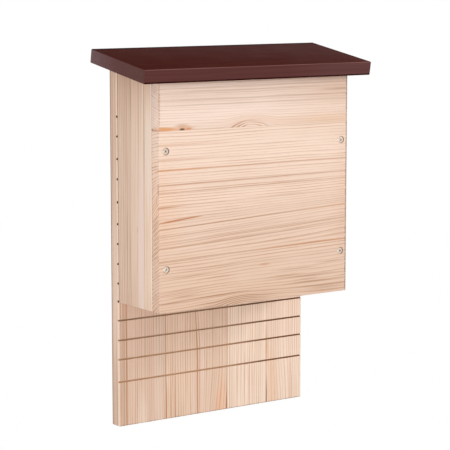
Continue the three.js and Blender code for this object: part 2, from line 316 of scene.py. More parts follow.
def planed_fir(
    name,
    node,
    along,
    across,
    staves,
    leans=((0, 0), (1, 0)),
    tones=(),
    marks=(),
    bends=(),
    slants=(),
    knots=(),
):
    """Bare planed and sanded fir, edge-glued from staves: pale peach earlywood, thin tan latewood.

    Places are in mm from the node's lowest corner, across and then along the grain.
    Stave: far edge, pith (across, through), ring (width, contrast, seed), pale and dark colours.
    Lean: a place across and the grain's rise per mm there.
    Bend: centre, reach, the grain's rise there, and the place across below which it is cut off.
    Slant: centre, reach, and how many mm the rings drop there per mm of depth.
    Tone: centre, reach, and the colour that the wood is multiplied by at its centre.
    Knot: its place across and along, and its radius. It goes right through the board.
    """
    material, tree, shader = new_material(name)
    low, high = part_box(node)
    source = add(tree, "ShaderNodeTexCoord")
    moved = vector_maths(tree, "SUBTRACT", source["Object"], low)
    scaled = vector_maths(tree, "SCALE", moved, Scale=1 / MM)
    axes = add(tree, "ShaderNodeSeparateXYZ", {0: scaled})
    place, depth, length = axes[across], axes[X + Y + Z - along - across], axes[along]
    point = add(tree, "ShaderNodeCombineXYZ", {0: place, 1: depth, 2: length})[0]

    # How far the grain has risen from straight: its lean, and what bends, slants and knots add to it
    board_width = (high - low)[across] / MM
    share = maths(tree, "DIVIDE", place, board_width)
    stops = [(where / board_width, 0.5 + lean / LEAN_RANGE) for where, lean in leans]
    ramp = graded(tree, share, stops)
    lean = remap(tree, ramp, {3: -LEAN_RANGE / 2, 4: LEAN_RANGE / 2})
    pushes = [(lean, length)]
    for centre, reach, height, cut in bends:
        kept = maths(tree, "GREATER_THAN", place, cut)
        pushes.append((spot(tree, point, *right_through(centre, reach), height), kept))
    for centre, reach, drop in slants:
        pushes.append((spot(tree, point, *right_through(centre, reach), -drop), depth))
    for *centre, radius in knots:
        aside = maths(tree, "SUBTRACT", place, centre[0])
        reach = [radius * share for share in KNOT_GRAIN_REACH_SHARES]
        pushes.append((spot(tree, point, *right_through(centre, reach), KNOT_GRAIN_SPREAD), aside))
    rise = 0
    for push, weight in pushes:
        rise = maths(tree, "MULTIPLY_ADD", push, weight, rise)
    level = maths(tree, "SUBTRACT", place, rise)
    grain = add(tree, "ShaderNodeCombineXYZ", {0: level, 1: depth, 2: length})[0]

    # Each stave's own pith, rings and colours, changed at the joints
    joints = [stave[0] for stave in staves[:-1]]
    woods = [((*pith, 0), ring, linear(pale)[:3], linear(dark)[:3]) for _, pith, ring, pale, dark in staves]
    values = woods[0]
    for joint, next_values in zip(joints, woods[1:]):
        past = maths(tree, "GREATER_THAN", place, joint)
        values = [
            add(tree, "ShaderNodeMix", {0: past, 4: value, 5: next_value}, data_type="VECTOR")[1]
            for value, next_value in zip(values, next_values)
        ]
    pith, ring, pale, dark = values
    wood = add(tree, "ShaderNodeGroup", {"Place": grain, "Pith": pith, "Ring": ring}, node_tree=RINGS)

    facing = add(tree, "ShaderNodeSeparateXYZ", {0: source["Normal"]})[along]
    turned = maths(tree, "ABSOLUTE", facing)
    darker = remap(tree, turned, FACING_SPAN, END_GRAIN)
    latewood = maths(tree, "MULTIPLY", wood["Latewood"], darker, use_clamp=True)
    colour = add(tree, "ShaderNodeMix", {0: latewood, 4: pale, 5: dark}, data_type="VECTOR")[1]
    for centre, reach, hue in tones:
        amount = spot(tree, grain, *right_through(centre, reach))
        colour = mix(tree, amount, colour, linear(hue), blend_type="MULTIPLY")
    centred = maths(tree, "SUBTRACT", wood["Fibre"], 0.5)
    frayed = vector_maths(tree, "MULTIPLY_ADD", centred, FRAY, grain)

    def layers():
        """How much of each mark, knot ring, glue line and canal shows, with its colour."""
        for mark in marks:
            at_across, *at_depth, at_along = mark.centre
            centre = (at_across, sum(at_depth), at_along)
            wide, *deep, long = mark.reach
            reach = (wide, sum(deep) or SKIN, long)
            amount = spot(tree, frayed, centre, reach, mark.strength, mark.core, mark.rise)
            if mark.above:
                kept = maths(tree, "GREATER_THAN", place, mark.above)
                amount = maths(tree, "MULTIPLY", amount, kept)
            yield amount, mark.colour
        for *centre, radius in knots:
            warp = noise(tree, point, 1 / KNOT_WARP_SPACING, 2)["Color"]
            uneven = vector_maths(tree, "MULTIPLY_ADD", warp, (KNOT_WARP,) * 3, point)
            middle = [at + KNOT_WARP / 2 for at in (centre[0], 0, centre[1])]
            for share, core, hue in KNOT_RINGS:
                reach = (radius * share, ALL_THROUGH, radius * share * KNOT_LENGTH_SHARE)
                yield spot(tree, uneven, middle, reach, KNOT_STRENGTH, core), hue
        for joint in joints:
            line = right_through((joint, 0), (GLUE_HALF_WIDTH, ALL_THROUGH))
            yield spot(tree, point, *line, GLUE_STRENGTH, GLUE_CORE), GLUE_COLOUR
        fleck = maths(tree, "MULTIPLY", wood["Canal"], CANAL_STRENGTH)
        yield fleck, CANAL_COLOUR

    for amount, hue in layers():
        colour = mix(tree, amount, colour, linear(hue))

    streak = remap(tree, wood["Fibre"], NOISE_SPAN, FIBRE_SHADE)
    band = remap(tree, wood["Band"], NOISE_SPAN, BAND_SHADE)
    shade = maths(tree, "MULTIPLY_ADD", streak, band, -1)
    tint = vector_maths(tree, "MULTIPLY_ADD", shade, SHADE_TINT, (1, 1, 1))
    shaded = vector_maths(tree, "MULTIPLY", colour, tint)
    raised = maths(tree, "MULTIPLY_ADD", wood["Latewood"], LATEWOOD_LIFT, wood["Fibre"])
    bump = add(tree, "ShaderNodeBump", {**FIR_RELIEF, "Height": raised})[0]
    rough = remap(tree, wood["Fibre"], NOISE_SPAN, FIR_ROUGHNESS)
    dress(tree, shader, shaded, rough, bump)
    shader.inputs["Specular IOR Level"].default_value = 0.2
    return material


BACK_WIDTH = (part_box("back_board")[1].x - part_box("back_board")[0].x) / MM
TAIL_HEIGHT = (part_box("front_board")[0].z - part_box("back_board")[0].z) / MM
# A kerf's faces lie between these two depths below the board's face.
KERF_SKIN = 0.3 * MM
KERF_REACH = 2.1 * MM
TORN_FIBRE_SPACING = 10 / 9 * MM
TORN_FIBRE_SHADE = {3: 0.85, 4: 1.1}
TORN_FIBRE_RELIEF = {"Strength": 0.5, "Distance": 0.1 * MM}
# From the left end of a kerf to its right end, darker to the right with painted shade
KERF_COLOURS_SHADED_RIGHTWARDS = [(0, "#D2AA88"), (0.3, "#DDB896"), (0.6, "#D6B08E"), (0.78, "#AC7E5D"), (1, "#A67958")]
# Painted shade: how much the kerfs darken near the box
KERF_SHADE_NEAR_BOX = {3: 1, 4: 0.62}
COVERED_KERF_SHADE_COLOUR = "#2A190E"
# The painted shade that blackens an end that a side board covers, in from the back board's edge
COVERED_KERF_START = 7 * MM
COVERED_KERF_FULL = 3 * MM
COVERED_KERF_DROP = 2 * MM  # how far it starts below the box


def sawn_kerf():
    """The inside of a saw kerf in fir: torn fibres, with painted shade that darkens it to the right and
    near the box.

    Behind the side boards its open ends get painted shade, nearly black.
    """
    material, tree, shader = new_material("sawn_kerf")
    place = add(tree, "ShaderNodeTexCoord")["Object"]
    tooth = noise(tree, place, 1 / TORN_FIBRE_SPACING, 3)["Fac"]
    across, _, height = add(tree, "ShaderNodeSeparateXYZ", {0: place})
    half_width = BACK_WIDTH / 2 * MM
    share = remap(tree, across, {1: -half_width, 2: half_width})
    colour = graded(tree, share, KERF_COLOURS_SHADED_RIGHTWARDS)
    torn = remap(tree, tooth, NOISE_SPAN, TORN_FIBRE_SHADE)
    tail_end, box_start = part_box("back_board")[0].z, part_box("front_board")[0].z
    shade_near_box = remap(tree, height, {1: (tail_end + box_start) / 2, 2: box_start}, KERF_SHADE_NEAR_BOX)
    for factor in (torn, shade_near_box):
        colour = vector_maths(tree, "SCALE", colour, Scale=factor)
    outwards = maths(tree, "ABSOLUTE", across)
    ends = remap(tree, outwards, {1: half_width - COVERED_KERF_START, 2: half_width - COVERED_KERF_FULL})
    covered = maths(tree, "GREATER_THAN", height, box_start - COVERED_KERF_DROP)
    # painted shade in the ends that the side boards cover
    painted_end_shade = maths(tree, "MULTIPLY", ends, covered)
    mixed = mix(tree, painted_end_shade, colour, linear(COVERED_KERF_SHADE_COLOUR))
    bump = add(tree, "ShaderNodeBump", {**TORN_FIBRE_RELIEF, "Height": tooth})[0]
    dress(tree, shader, mixed, bump=bump)
    shader.inputs["Roughness"].default_value = 0.85
    shader.inputs["Specular IOR Level"].default_value = 0.01
    return material


# Spacing of the streaks in the stain: from left to right, which is along the grain, and across it
ROOF_STREAK_SPACING = Vector((1000 / 9, 100 / 42, 100 / 42)) * MM
ROOF_CLOUD_SPACING = 1000 / 28 * MM
ROOF_SPECK_SPACING = 2 * MM
# Each surface's hues where the stain is deep and where a painted sheen greys it, dark and pale streaks of
# each
ROOF_FACE_HUES = ("#4A1A14", "#55231B"), ("#4A2522", "#572F2C")
ROOF_EDGE_HUES = ("#5A3430", "#613A37"), ("#613C3A", "#684341")
# A painted sheen greys the face towards its rear right, and the front edge towards its right, by these
# shares.
REAR_RIGHT_SHARES = (0.7, 0.5, 0)
ROOF_FACE_SHEEN = {1: 0.3, 2: 1.15}
ROOF_EDGE_SHEEN = {1: 0.62, 2: 0.82}
# End grain from the front to the rear, greyed towards the rear by a painted sheen
CHALK_AND_SHEEN_HUES = [(0, "#64443F"), (0.5, "#684745"), (0.75, "#715354"), (1, "#7B6263")]
CHALK_SHADE = {3: 0.9, 4: 1.1}
POOLED_STAIN = "#260B07"
# Where the pooled stain begins and where it is full, from the rear edge and above the drip edge
REAR_POOL = {1: 8.5 * MM, 2: 6 * MM}
DRIP_POOL = {1: 2 * MM, 2: 1.2 * MM}
ROOF_RELIEF = {"Strength": 0.3, "Distance": 0.08 * MM}
ROOF_ROUGHNESS = {3: 0.6, 4: 0.7}


def roof_stain():
    """Dark red-brown matt wood stain: deep on the top, lighter on the edges, chalky on end grain, and
    greyed towards the rear and right by a painted sheen.
    """
    material, tree, shader = new_material("matt_roof_stain")
    source = add(tree, "ShaderNodeTexCoord")
    stretched = vector_maths(tree, "DIVIDE", source["Object"], ROOF_STREAK_SPACING)
    grain, cloud, speck = [
        noise(tree, at, scale, detail)["Fac"]
        for at, scale, detail in (
            (stretched, 1, 3),
            (source["Object"], 1 / ROOF_CLOUD_SPACING, 2),
            (source["Object"], 1 / ROOF_SPECK_SPACING, 2),
        )
    ]
    low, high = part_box("roof_board")
    moved = vector_maths(tree, "SUBTRACT", source["Object"], low)
    share = vector_maths(tree, "DIVIDE", moved, high - low)
    rightwards, rearwards, _ = add(tree, "ShaderNodeSeparateXYZ", {0: share})
    rear_right = vector_maths(tree, "DOT_PRODUCT", share, REAR_RIGHT_SHARES)

    def streaked(place, sheen, hues):
        """Stain that is streaked between two hues, and greyed by a painted sheen the further its place has
        got.
        """
        grown = remap(tree, place, sheen)
        deep, sheened = [graded(tree, grain, list(zip(NOISE_STOPS, pair))) for pair in hues]
        return mix(tree, grown, deep, sheened)

    def pooled(colour, away, pool):
        """The stain gathered to a darker line near an edge."""
        amount = remap(tree, away, pool)
        return mix(tree, amount, colour, linear(POOLED_STAIN))

    inset = vector_maths(tree, "SUBTRACT", high, source["Object"])
    from_rear = add(tree, "ShaderNodeSeparateXYZ", {0: inset})[Y]
    above_drip = add(tree, "ShaderNodeSeparateXYZ", {0: moved})[Z]
    face = streaked(rear_right, ROOF_FACE_SHEEN, ROOF_FACE_HUES)
    edge = streaked(rightwards, ROOF_EDGE_SHEEN, ROOF_EDGE_HUES)
    chalk = graded(tree, rearwards, CHALK_AND_SHEEN_HUES)
    dusty = remap(tree, speck, NOISE_SPAN, CHALK_SHADE)
    end_colour = vector_maths(tree, "SCALE", chalk, Scale=dusty)
    facing = vector_maths(tree, "ABSOLUTE", source["Normal"])
    sides = add(tree, "ShaderNodeSeparateXYZ", {0: facing})
    colour = pooled(face, from_rear, REAR_POOL)
    for side, side_colour in ((Y, pooled(edge, above_drip, DRIP_POOL)), (X, end_colour)):
        amount = remap(tree, sides[side], FACING_SPAN)
        colour = mix(tree, amount, colour, side_colour)
    bump = add(tree, "ShaderNodeBump", {**ROOF_RELIEF, "Height": grain})[0]
    rough = remap(tree, cloud, NOISE_SPAN, ROOF_ROUGHNESS)
    dress(tree, shader, colour, rough, bump)
    shader.inputs["Specular IOR Level"].default_value = 0.008
    return material


# A painted highlight along the roof board's front arris
ARRIS_HIGHLIGHT_HUES = ("#714742", "#89605A")
ARRIS_ROUGHNESS = {3: 0.5, 4: 0.7}


def arris_highlight():
    """The roof board's eased front edge, a paler brown along the grain as a painted highlight."""
    material, tree, shader = new_material("painted_highlight_on_the_arris")
    place = add(tree, "ShaderNodeTexCoord")["Object"]
    stretched = vector_maths(tree, "DIVIDE", place, ROOF_STREAK_SPACING)
    glint = noise(tree, stretched, 1, 2)["Fac"]
    hue = graded(tree, glint, list(zip(NOISE_STOPS, ARRIS_HIGHLIGHT_HUES)))
    rough = remap(tree, glint, ARRIS_ROUGHNESS)
    dress(tree, shader, hue, rough)
    shader.inputs["Specular IOR Level"].default_value = 0.05
    return material


CRUSH_SPACING = 10 / 14 * MM
CRUSH_SHADE = {3: 0.92, 4: 1.06}
CRUSH_RELIEF = {"Strength": 0.4, "Distance": 0.08 * MM}
CRUSH_ROUGHNESS = {3: 0.45, 4: 0.65}
# Painted shade: the cone darkens as its wall turns from facing right to facing left, by the X of its
# normal.
COUNTERSINK_SHADE_TURN = {1: 0.5, 2: -0.6}
COUNTERSINK_SHADE_HUES = [(0, "#DDBEA4"), (0.5, "#C9A68B"), (1, "#86695A")]


def pressed_wood():
    """The cone that a screw's head has pressed into the fir: crushed, and darker on its right with painted
    shade.
    """
    material, tree, shader = new_material("pressed_fir_countersink")
    source = add(tree, "ShaderNodeTexCoord")
    crush = noise(tree, source["Object"], 1 / CRUSH_SPACING, 2)["Fac"]
    rightwards = add(tree, "ShaderNodeSeparateXYZ", {0: source["Normal"]})[X]
    shaded_side = remap(tree, rightwards, COUNTERSINK_SHADE_TURN, interpolation_type="SMOOTHSTEP")
    hue = graded(tree, shaded_side, COUNTERSINK_SHADE_HUES)
    crumbs = remap(tree, crush, NOISE_SPAN, CRUSH_SHADE)
    crushed = vector_maths(tree, "SCALE", hue, Scale=crumbs)
    bump = add(tree, "ShaderNodeBump", {**CRUSH_RELIEF, "Height": crush})[0]
    rough = remap(tree, crush, CRUSH_ROUGHNESS)
    dress(tree, shader, crushed, rough, bump)
    shader.inputs["Specular IOR Level"].default_value = 0.2
    return material


ZINC_CLOUD_SPACING = 2 * MM
ZINC_ROUGHNESS = {3: 0.24, 4: 0.36}


def bright_zinc(name, hues):
    """Zinc-plated steel, bright and a little uneven in its gloss, clouded between two hues."""
    material, tree, shader = new_material(name)
    place = add(tree, "ShaderNodeTexCoord")["Object"]
    cloud = noise(tree, place, 1 / ZINC_CLOUD_SPACING, 2)["Fac"]
    hue = graded(tree, cloud, list(zip(NOISE_STOPS, hues)))
    rough = remap(tree, cloud, NOISE_SPAN, ZINC_ROUGHNESS)
    dress(tree, shader, hue, rough)
    shader.inputs["Metallic"].default_value = 1
    return material


CRYSTAL_SPACING = 100 / 38 * MM
CRYSTAL_HUES = [(0.1, "#A2A4A7"), (0.9, "#BBBDBF")]
CRYSTAL_ROUGHNESS = {3: 0.34, 4: 0.48}


def galvanised_sheet():
    """Galvanised sheet steel: cool grey, duller than the screws, in a faint patchwork of crystals."""
    material, tree, shader = new_material("galvanised_sheet_steel")
    place = add(tree, "ShaderNodeTexCoord")["Object"]
    crystals = add(tree, "ShaderNodeTexVoronoi", {"Vector": place, "Scale": 1 / CRYSTAL_SPACING})["Color"]
    facet = add(tree, "ShaderNodeSeparateXYZ", {0: crystals})[0]
    hue = graded(tree, facet, CRYSTAL_HUES)
    rough = remap(tree, facet, CRYSTAL_ROUGHNESS)
    dress(tree, shader, hue, rough)
    shader.inputs["Metallic"].default_value = 1
    return material


def row(first, spacing, count):
    """Evenly spaced places, in mm."""
    return [first + spacing * step for step in range(count)]


# Fir boards. Across is left to right or front to back, except on the front board, where it is up.
FRONT_JOINT = 192
FRONT_STAVES = [
    (FRONT_JOINT, (-60, -34), (3.3, 0.85, 1), "#FCE1CE", "#C78F69"),
    (245, (10, 84), (2.6, 0.75, 2), "#FCE2D2", "#CAA286"),
]
# Its grain climbs to the right, most of all about a third of the way up.
FRONT_LEANS = [(0, 0.03), (45, 0.022), (62, 0.02), (73, 0.042), (98, 0.042), (114, 0.012)]
FRONT_LEANS += [(128, 0.006), (150, 0), (185, 0), (192, -0.006), (245, 0.004)]
FRONT_MARKS = [
    # the left end: resin in the joint, dark rings, a shadow line at the back, a line down the corner
    Mark((194, 7, 0), (4, 12, 4), 0, "#E5B08A", 0.5, FRONT_JOINT),
    Mark((192.8, 7, 0), (1.2, 12, 2), 0.2, "#CE8F68", 0.7),
    Mark((193, 12.6, 0), (1.8, 2.6, 2), 0.2, "#865843", 0.8),
    Mark((131, 2.2, 0), (11, 1.6, 2), 0.1, "#A97458", 0.65),
    Mark((122, 5.5, 0), (7, 1.4, 2), 0.1, "#B98A6E", 0.5),
    Mark((122, 14.6, 0), (400, 2.0, 2), 0.2, "#A0745C", 0.35),
    Mark((222, 0), (45, 1, 1.6), 0.3, "#C08C66", 0.75, FRONT_JOINT),
    # the right end's corner, darkened with painted shade
    Mark((122, 0, 250), (900, 2.6), 0.45, "#957660", 0.85),
    # warmer wood beside the joint
    Mark((196, 220), (10, 120), 0, "#F0C6A2", 0.5, FRONT_JOINT),
    Mark((196, 120), (12, 70), 0, "#F3CCAD", 0.35, FRONT_JOINT),
    # the half knot at the joint's left end, its dark core and its halo
    Mark((194.0, 30), (5, 22), 0.1, "#E3A678", 0.65, FRONT_JOINT),
    Mark((194, 2), (3.2, 0.8, 24), 0.5, "#E8A672", 0.9, FRONT_JOINT),
    Mark((197.5, 29), (3.2, 13), 0, "#CC9870", 0.5, FRONT_JOINT),
    Mark((193.2, 29), (1.9, 4.6), 0.4, "#6B4228", 0.9, FRONT_JOINT),
    Mark((193.6, 37), (1.6, 6), 0.2, "#D98F5C", 0.8, FRONT_JOINT),
    # the swirl right of it, bent round a knot that the saw took away
    Mark((189.4, 97), (1.1, 17), 0.3, "#BE7846", 0.85, FRONT_JOINT, 0.1),
    Mark((186.2, 100), (1.1, 17), 0.3, "#BE7846", 0.85, FRONT_JOINT, 0.1),
    Mark((183.4, 104), (1.1, 16), 0.3, "#C07C4C", 0.8, FRONT_JOINT, 0.1),
    Mark((191.6, 112), (1.0, 26), 0.2, "#C88F68", 0.75, FRONT_JOINT),
    Mark((188.0, 128), (1.0, 24), 0.2, "#D3986B", 0.75, FRONT_JOINT),
    Mark((184.6, 126), (1.0, 20), 0.2, "#D3986B", 0.75, FRONT_JOINT),
    Mark((181.4, 124), (1.0, 18), 0.2, "#D8A27A", 0.7, FRONT_JOINT),
    # grey-brown lines near the top
    Mark((218, 125), (1.0, 300), 0, "#C9AE98", 0.5),
    Mark((223, 125), (1.0, 300), 0, "#BFA28A", 0.5),
    Mark((228, 240), (1.8, 45), 0, "#B08A6A", 0.5),
    *[Mark((height, 125), (1.0, 300), 0, "#BFA28A", 0.5) for height in row(231.5, 4.5, 3)],
    # single strong lines of the wide stave, from the top down
    Mark((177.5, 0), (1.8, 120), 0, "#DCA57C", 0.55),
    Mark((162, 0), (1.4, 130), 0, "#D39F7A", 0.5),
    Mark((151, 0), (1.7, 130), 0.1, "#D9925E", 0.75),
    Mark((151, 125), (1.3, 300), 0, "#C99470", 0.4),
    Mark((135.2, 125), (1.1, 500), 0, "#BA7F58", 0.7),
    Mark((127.2, 100), (1.1, 400), 0, "#BA7F58", 0.65),
    Mark((111.7, 0), (1.5, 55), 0, "#BD7C4C", 0.75),
    Mark((113.5, 165), (1.0, 90), 0, "#C39472", 0.5),
    Mark((96.6, 22), (1.5, 37), 0.35, "#C4794A", 0.85, rise=0.047),
    Mark((97.6, 44), (1.6, 16), 0.1, "#BC7340", 0.6, rise=0.03),
    Mark((88.5, 60), (1.2, 260), 0, "#AF7A56", 0.7),
    Mark((88.5, 250), (1.7, 110), 0, "#CF946A", 0.6),
    Mark((80.5, 40), (1.1, 180), 0, "#B98967", 0.6),
    Mark((74, 120), (1.0, 260), 0, "#B98967", 0.55),
    Mark((68, 100), (1.1, 300), 0, "#B4835F", 0.6),
    Mark((61.5, 120), (1.0, 240), 0, "#BE9070", 0.4),
    Mark((54.9, 40), (1.1, 150), 0, "#B4835F", 0.6),
    Mark((54.9, 200), (1.6, 105), 0.3, "#CC9068", 0.75),
    Mark((37.5, 136), (2.0, 12), 0.1, "#D1936F", 0.6),
    Mark((42.8, 75), (1.1, 60), 0, "#B4866A", 0.6),
    Mark((35.7, 38), (1.2, 55), 0, "#B98C6E", 0.65),
    Mark((30.7, 73), (1.1, 45), 0, "#B4866A", 0.55),
    Mark((21.5, 20), (1.1, 50), 0, "#B98C6E", 0.6),
    Mark((18.5, 20), (1.1, 50), 0, "#B4866A", 0.55),
    Mark((14.7, 30), (1.2, 28), 0, "#A97A56", 0.6),
    Mark((10.4, 75), (1.3, 80), 0.1, "#A97248", 0.75),
    Mark((9.5, 12), (1.2, 34), 0.1, "#AA7650", 0.7),
    Mark((32.3, 230), (1.1, 30), 0, "#B4866A", 0.6),
    Mark((29.0, 180), (1.1, 45), 0, "#B4866A", 0.55),
    Mark((23.2, 165), (1.1, 35), 0, "#B4866A", 0.55),
    Mark((20.5, 192), (1.2, 65), 0, "#A97C5E", 0.65),
    Mark((17.2, 195), (1.1, 30), 0, "#B4866A", 0.55),
    Mark((14.1, 205), (1.4, 60), 0.1, "#A87650", 0.65),
    Mark((8.9, 212), (1.3, 55), 0.1, "#A87650", 0.65),
    Mark((6.1, 220), (1.1, 42), 0, "#A97C5E", 0.55),
    Mark((3.1, 220), (1.1, 42), 0, "#A97C5E", 0.55),
    # the flame at the lower edge
    Mark((2.8, 106), (1.2, 76), 0.2, "#AA7A56", 0.7),
    Mark((-0.4, 102), (1.2, 76), 0.2, "#A4724E", 0.75),
    Mark((-3.6, 100), (1.2, 72), 0.2, "#A4724E", 0.8),
    Mark((-7.0, 98), (1.2, 65), 0.2, "#A4724E", 0.75),
    Mark((-10.0, 98), (1.1, 50), 0.2, "#AA7A56", 0.7),
]
# Painted shade along the rear corner of its left end, beaded where the lowest rings reach it
REAR_BEADS = [Mark((up, 14.4, 0), (1.5, 1.8, 2), 0.3, "#7A503A", 0.6) for up in row(4, 5.2, 17)]
# The broad slanted rings in the middle of its left end
END_STROKES = [Mark((up, 7.5, 0), (1.7, 9, 2), 0.2, "#A87C60", 0.45) for up in row(62, 5.4, 9)]
FRONT_TONES = [
    # shade towards the lower edge
    ((-40, 60), (235, 700), "#E9DED4"),
    # warmer wood along its two ends
    ((110, 0), (80, 45), "#FFF7F1"),
    ((100, 250), (110, 32), "#FBF5F1"),
    # the upper right corner and the top
    ((235, 270), (80, 150), "#F3EBE3"),
    ((231, 100), (20, ALL_THROUGH), "#F8F6F5"),
]
FRONT_BENDS = [
    # over the swirl, over the flame at the lower edge, and a broad dip towards the right end
    ((192, 118), (18, 42), 11, FRONT_JOINT),
    ((-6, 106), (24, 44), 10, -ALL_THROUGH),
    ((-6, 150), (24, 84), 5, -ALL_THROUGH),
    ((0, 250), (60, 190), -6, -ALL_THROUGH),
]
# The rings of its left end slant most where the knot pulled them.
FRONT_SLANTS = [((88, 0), (75, 14), 0.75)]
BACK_STAVES = [
    (61, (-190, 110), (2.85, 1, 3), "#E6C5AF", "#B08264"),
    (144.3, (330, 120), (2.9, 1, 4), "#EFCFB8", "#BA8763"),
    (200, (-60, 90), (3.0, 1, 5), "#FCE3CF", "#CF9C70"),
    (251, (420, -120), (2.8, 1, 6), "#FBE0CC", "#C89366"),
]
BACK_MARKS = [
    # the arris of the lower end, dark all the way round with painted shade
    Mark((125, 0, 0), (ALL_THROUGH, 40, 1.5), 0.3, "#8C705C", 0.6),
    # a paler strip along the front of the left edge: a painted highlight on its arris
    Mark((0, 1.6, 200), (2.5, 2.4, 900), 0.4, "#F8DFCC", 0.75),
    Mark((0, 8, 160), (2.5, 9, 110), 0.4, "#F6DCC9", 0.45),
    # the rear arris of the left edge, darker
    Mark((0, 15, 200), (2.5, 3.4, 900), 0.3, "#7E5E48", 0.8),
    # dark lines of the first stave, and of the joint and stave right of it
    Mark((2.6, 100), (0.8, 600), 0, "#AC7751", 0.5),
    Mark((6.2, 100), (0.9, 600), 0, "#AC7751", 0.6),
    Mark((9.6, 100), (1.3, 600), 0.1, "#B0703F", 0.8),
    Mark((61.2, 100), (1.0, 600), 0, "#A8744E", 0.55),
    Mark((61.6, 8), (1.6, 46), 0.2, "#B9773F", 0.75),
    Mark((67.5, 10), (1.2, 75), 0, "#BC8354", 0.65),
    Mark((73.2, 0), (1.5, 90), 0, "#B4743F", 0.75),
    Mark((87.5, 60), (1.1, 120), 0, "#B98A66", 0.5),
    Mark((103.6, 40), (1.7, 110), 0.3, "#BA7A48", 0.65),
    Mark((103.6, 130), (1.1, 90), 0, "#A9754F", 0.5),
    # paler wood in the first stave
    Mark((53, 50), (9, 130), 0.4, "#F1DAC6", 0.35),
    Mark((30, 0), (9, 50), 0.3, "#F4DFCC", 0.4),
    # pale strips in the second stave, and ruddy lines in the third
    Mark((98.4, 20), (1.6, 60), 0.2, "#F4E6DE", 0.3),
    Mark((110.5, 50), (3.4, 55), 0.3, "#F4E6DE", 0.25),
    Mark((158.2, 30), (1.1, 60), 0.1, "#CF9A74", 0.55),
    Mark((168.6, 26), (1.0, 58), 0.1, "#CB8C72", 0.6),
    Mark((175.0, 22), (1.0, 56), 0.1, "#CB8C72", 0.6),
    Mark((180.8, 22), (1.0, 52), 0.1, "#CB8C72", 0.5),
    # the joints on both sides of it, and the last stave
    Mark((143.9, 0), (1.4, 56), 0.1, "#A3653A", 0.85),
    Mark((144.3, 100), (1.0, 400), 0, "#A97C5C", 0.55),
    Mark((200, 66), (3.0, 36), 0, "#D29A6C", 0.6),
    Mark((200, 0), (1.5, 50), 0.2, "#80492E", 0.85),
    Mark((232, 12), (2.0, 70), 0, "#CF9468", 0.5),
    Mark((228.5, 0), (1.2, 60), 0, "#C08A60", 0.5),
]


def kerf_heights():
    """The middles of the saw kerfs in the back board's face, in mm above its lower end."""
    low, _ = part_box("back_board")
    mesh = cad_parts["back_board"].data
    heights = set()
    for face in mesh.polygons:
        depth = face.center.y - low.y
        if abs(face.normal.y) > SQUARE_ON and KERF_SKIN < depth < KERF_REACH:
            levels = [mesh.vertices[v].co.z - low.z for v in face.vertices]
            heights.add(round((min(levels) + max(levels)) / 2 / MM, 1))
    return sorted(heights)


# Painted shade round the notches that the kerfs leave behind the side boards
NOTCH_SHADE = [
    Mark((end, 0.4, height), (2.5, 1.8, 1.9), 0.4, "#4E3018", 0.85)
    for height in kerf_heights()
    for end in (0, BACK_WIDTH)
    if height > TAIL_HEIGHT
]
# Stretches of its lower end that are duller or warmer, and where its grain swings aside
BACK_TONES = [
    ((5, 30), (9, 80), "#EDEBE5"),
    ((81, 0), (10, 32), "#F5F4F0"),
    ((137, 0), (10, 60), "#FFEDDF"),
    ((151.5, 30), (9, 110), "#F4F1EF"),
    ((207, 15), (10, 85), "#FBEFE3"),
]
BACK_BENDS = [
    ((104, 150), (14, 90), -4, 0),
    ((126, -8), (22, 62), -4.5, 0),
    ((228, 0), (28, 95), 5.5, 200),
]
LEFT_STAVES = [
    (14.5, (-260, 60), (4.2, 0.6, 7), "#F6DAC4", "#DAB190"),
    (37.5, (120, 130), (3.6, 0.8, 8), "#F4D7C2", "#CBA084"),
    (68, (230, -50), (3.4, 1.05, 9), "#ECCEB8", "#BB8C72"),
]
LEFT_MARKS = [
    # the pale pinkish band of the lower half, and the tan one behind it
    Mark((21, 45), (7.5, 150), 0.6, "#F3DCD1", 0.65),
    Mark((33, 20), (6.5, 150), 0.4, "#E9C8AF", 0.6),
    # paler wood in the upper half of the front stave, and a painted highlight along its front edge
    Mark((7, 165), (7.5, 80), 0.4, "#FAEADF", 0.45),
    Mark((0.4, 120), (1.3, 900), 0.3, "#FCF0E4", 0.35),
    # bright lines behind the two joints, and a dark one before the first
    Mark((15.8, 244), (0.9, 110), 0.2, "#FFF3E6", 0.8),
    Mark((38.3, 100), (0.9, 900), 0, "#FBEDE2", 0.6),
    Mark((13.9, 185), (1.2, 100), 0.2, "#A27A5C", 0.6),
    Mark((13.9, 60), (1.0, 90), 0, "#B08A6C", 0.6),
    # single lines
    Mark((42.5, 50), (1.1, 60), 0, "#B08A6C", 0.55),
    Mark((24.5, 200), (0.9, 120), 0, "#C69A7B", 0.5),
    Mark((31.0, 190), (0.9, 110), 0, "#C69A7B", 0.5),
    Mark((9.5, 60), (0.8, 200), 0, "#CDA07E", 0.5),
    Mark((40.4, 232), (1.4, 66), 0, "#B78660", 0.7),
    Mark((28, 84), (0.9, 6), 0.2, "#B0805E", 0.5),
    Mark((28, 56), (1.2, 42), 0, "#C39678", 0.5),
    Mark((49, 70), (1.1, 70), 0, "#B98E72", 0.5),
    Mark((54.5, 60), (1.1, 80), 0, "#B98E72", 0.45),
    # where it meets the back board
    Mark((66.6, 120), (1.9, 900), 0.3, "#A9866C", 0.75),
]
# Dimmer towards its top and its lower end
LEFT_TONES = [
    ((30, 250), (200, 60), "#F6EFEA"),
    ((30, -10), (200, 50), "#F7F3F0"),
    ((33, 10), (11, 50), "#F0E9E6"),
]
